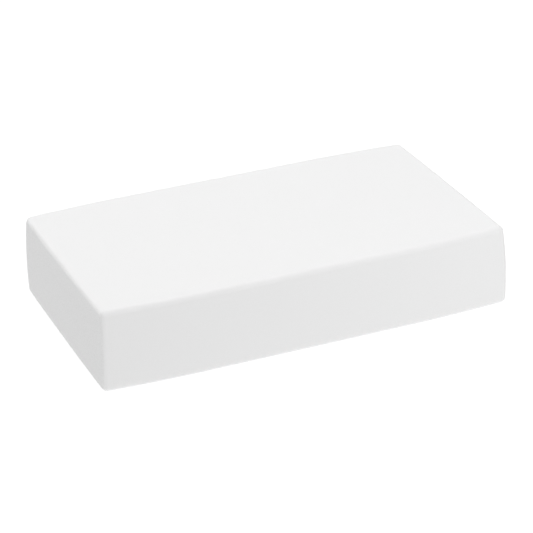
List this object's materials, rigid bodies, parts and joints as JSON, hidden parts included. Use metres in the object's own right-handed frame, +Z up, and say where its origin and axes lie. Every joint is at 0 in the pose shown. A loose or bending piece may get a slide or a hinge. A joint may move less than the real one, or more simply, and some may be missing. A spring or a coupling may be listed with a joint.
{
  "type": "nail buffer block",
  "caption": "Hand-held foam nail buffer block with abrasive strips bonded round its four long faces and bare foam ends.",
  "frame": {"origin": "middle of the underside, which is the face that the block rests on", "axes": "+X along the block's length, +Y across its width from the front face to the back face, +Z up through its thickness"},
  "size_m": [0.1004, 0.06, 0.02],
  "materials": {
    "foam": "matt, fine-celled white foam",
    "grit": "matt white, very fine abrasive grain in resin",
    "backing": "smooth white paper",
    "adhesive": "clear to milky, satin"
  },
  "bodies": {
    "root": {"foam_core": "foam", "top_adhesive_film": "adhesive", "top_backing_sheet": "backing", "top_grit_coat": "grit", "bottom_adhesive_film": "adhesive", "bottom_backing_sheet": "backing", "bottom_grit_coat": "grit", "front_adhesive_film": "adhesive", "front_backing_sheet": "backing", "front_grit_coat": "grit", "back_adhesive_film": "adhesive", "back_backing_sheet": "backing", "back_grit_coat": "grit"}
  },
  "joints": []
}
